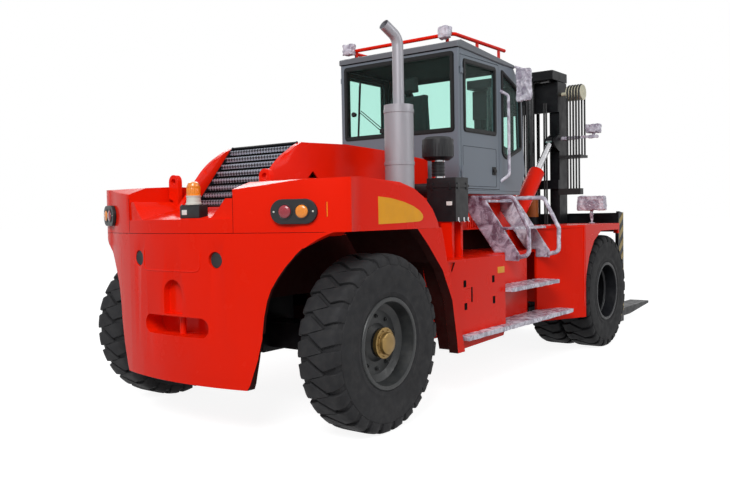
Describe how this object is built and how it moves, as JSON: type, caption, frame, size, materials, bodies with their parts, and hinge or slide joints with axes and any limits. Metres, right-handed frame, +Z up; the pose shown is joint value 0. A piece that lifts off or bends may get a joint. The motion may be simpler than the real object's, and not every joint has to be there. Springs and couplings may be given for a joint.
{
  "type": "container forklift truck",
  "caption": "Heavy counterbalance forklift with a raised cab, two-stage tilting mast, side-sliding forks, dual front wheels and steered rear wheels under a cast counterweight.",
  "frame": {"origin": "on the ground under the middle of the whole truck, forks included", "axes": "+X forward to the fork tips, +Y to the driver's left, +Z up"},
  "size_m": [8.9321, 2.88, 3.5987],
  "materials": {
    "tyre_rubber": "matte",
    "rim_black": "satin",
    "red_paint": "gloss",
    "cab_grey": "satin",
    "cab_glass": "clear",
    "black_paint": "satin",
    "black_plastic": "matte",
    "seat_fabric": "matte",
    "rod_chrome": "polished",
    "exhaust_steel": "satin",
    "step_grey": "satin"
  },
  "bodies": {
    "chassis": {"air_cleaner": "black_plastic", "beacon": "black_plastic", "cab_floor": "cab_grey", "cab_glass": "cab_glass", "cab_rear_wall": "cab_grey", "cab_roof": "cab_grey", "cab_side_left": "cab_grey", "cab_side_right": "cab_grey", "cab_support": "red_paint", "chassis_frame": "red_paint", "console": "black_plastic", "counterweight": "red_paint", "drive_axle": "black_paint", "engine": "black_paint", "exhaust": "exhaust_steel", "front_fenders": "red_paint", "headlamps": "step_grey", "hood": "red_paint", "ladders": "step_grey", "lifting_eyes": "red_paint", "mirrors": "step_grey", "radiator_grille": "black_paint", "rear_deck": "red_paint", "rear_fenders": "red_paint", "rear_fittings": "black_paint", "roof_lamps": "step_grey", "roof_rack": "red_paint", "seat": "seat_fabric", "side_boxes": "red_paint", "steer_axle": "black_paint", "steering_column": "black_plastic", "steps": "step_grey", "tail_lamps": "step_grey"},
    "door_left": {"cab_door_left": "cab_grey", "door_glass_left": "cab_glass"},
    "door_right": {"cab_door_right": "cab_grey", "door_glass_right": "cab_glass"},
    "knuckle_left": {"knuckle_left": "black_paint"},
    "knuckle_right": {"knuckle_right": "black_paint"},
    "rear_wheel_left": {"rear_tyre_left": "tyre_rubber", "rear_rim_left": "rim_black"},
    "rear_wheel_right": {"rear_tyre_right": "tyre_rubber", "rear_rim_right": "rim_black"},
    "front_wheel_left": {"front_tyres_left": "tyre_rubber", "front_rims_left": "rim_black"},
    "front_wheel_right": {"front_tyres_right": "tyre_rubber", "front_rims_right": "rim_black"},
    "mast": {"outer_mast": "black_paint", "lift_barrels": "black_paint", "hose_sheaves": "black_paint", "mast_hoses": "black_plastic", "mast_lamps": "step_grey"},
    "inner_mast": {"inner_mast": "black_paint", "lift_rods": "rod_chrome", "lift_chains": "black_paint"},
    "carriage": {"carriage": "black_paint"},
    "fork_left": {"fork_left": "black_paint"},
    "fork_right": {"fork_right": "black_paint"},
    "tilt_barrels": {"tilt_barrels": "red_paint"},
    "tilt_rods": {"tilt_rods": "rod_chrome"}
  },
  "joints": [
    {"name": "steer_left", "type": "hinge", "parent": "chassis", "child": "knuckle_left", "pos_m": [-3.534, 1.01, 0.69], "axis": [0, 0, 1], "range_deg": [-60, 60]},
    {"name": "steer_right", "type": "hinge", "parent": "chassis", "child": "knuckle_right", "pos_m": [-3.534, -1.01, 0.69], "axis": [0, 0, 1], "range_deg": [-60, 60]},
    {"name": "rear_spin_left", "type": "hinge", "parent": "knuckle_left", "child": "rear_wheel_left", "pos_m": [-3.534, 1.2, 0.69], "axis": [0, 1, 0], "continuous": true},
    {"name": "rear_spin_right", "type": "hinge", "parent": "knuckle_right", "child": "rear_wheel_right", "pos_m": [-3.534, -1.2, 0.69], "axis": [0, 1, 0], "continuous": true},
    {"name": "front_spin_left", "type": "hinge", "parent": "chassis", "child": "front_wheel_left", "pos_m": [1.066, 1, 0.69], "axis": [0, 1, 0], "continuous": true},
    {"name": "front_spin_right", "type": "hinge", "parent": "chassis", "child": "front_wheel_right", "pos_m": [1.066, -1, 0.69], "axis": [0, 1, 0], "continuous": true},
    {"name": "door_left_hinge", "type": "hinge", "parent": "chassis", "child": "door_left", "pos_m": [-1.342, 0.782, 2.6], "axis": [0, 0, 1], "range_deg": [0, 80]},
    {"name": "door_right_hinge", "type": "hinge", "parent": "chassis", "child": "door_right", "pos_m": [-1.342, -0.782, 2.6], "axis": [0, 0, 1], "range_deg": [-80, 0]},
    {"name": "mast_tilt", "type": "hinge", "parent": "chassis", "child": "mast", "pos_m": [1.416, 0, 0.52], "axis": [0, 1, 0], "range_deg": [-10, 6]},
    {"name": "mast_lift", "type": "slide", "parent": "mast", "child": "inner_mast", "axis": [0, 0, 1], "range_m": [0, 1.5]},
    {"name": "carriage_lift", "type": "slide", "parent": "inner_mast", "child": "carriage", "axis": [0, 0, 1], "range_m": [0, 1.5]},
    {"name": "fork_spread_left", "type": "slide", "parent": "carriage", "child": "fork_left", "axis": [0, 1, 0], "range_m": [-0.42, 0.37]},
    {"name": "fork_spread_right", "type": "slide", "parent": "carriage", "child": "fork_right", "axis": [0, 1, 0], "range_m": [-0.37, 0.42]},
    {"name": "tilt_cylinder_pivot", "type": "hinge", "parent": "chassis", "child": "tilt_barrels", "pos_m": [0.166, 0, 1.51], "axis": [0, 1, 0], "range_deg": [-9.4, 5.88]},
    {"name": "tilt_rod_slide", "type": "slide", "parent": "tilt_barrels", "child": "tilt_rods", "axis": [0.7289, 0, 0.6846], "range_m": [-0.2858, 0.1755]}
  ],
  "couplings": [
    {"joint": "steer_right", "follows": "steer_left", "ratio": 1},
    {"joint": "carriage_lift", "follows": "mast_lift", "ratio": 1},
    {"joint": "fork_spread_right", "follows": "fork_spread_left", "ratio": -1},
    {"joint": "tilt_cylinder_pivot", "follows": "mast_tilt", "ratio": 0.88},
    {"joint": "tilt_rod_slide", "follows": "mast_tilt", "m_per_rad": 1.58}
  ]
}
